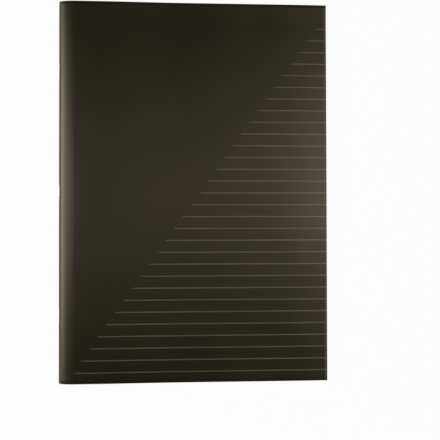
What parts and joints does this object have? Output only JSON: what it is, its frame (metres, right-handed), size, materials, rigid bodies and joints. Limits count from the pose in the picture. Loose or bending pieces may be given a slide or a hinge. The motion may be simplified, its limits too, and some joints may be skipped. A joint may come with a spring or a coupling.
{
  "type": "composition notebook",
  "caption": "A4 saddle-stitched notebook with a black plastic cover, wire staples through the fold and raised ruled lines that a diagonal cuts short.",
  "frame": {"origin": "middle of the closed notebook, on the table under its back cover", "axes": "+X from the folded spine to the fore-edge, +Y up the page to the head, +Z out of the front cover"},
  "size_m": [0.2102, 0.297, 0.0082],
  "materials": {
    "cover": "satin warm black sheet with a fine soft grain",
    "paper": "uncoated off-white writing paper",
    "wire": "bright galvanised staple wire"
  },
  "bodies": {
    "pages": {"page_block": "paper", "cover_spine": "cover", "staples": "wire"},
    "front": {"front_cover": "cover"},
    "back": {"back_cover": "cover"}
  },
  "joints": [
    {"name": "front_cover_fold", "type": "hinge", "parent": "pages", "child": "front", "pos_m": [-0.10181, 0, 0.0063], "axis": [0, -1, 0], "range_deg": [0, 180]},
    {"name": "back_cover_fold", "type": "hinge", "parent": "pages", "child": "back", "pos_m": [-0.10181, 0, 0.00109], "axis": [0, 1, 0], "range_deg": [0, 180]}
  ]
}
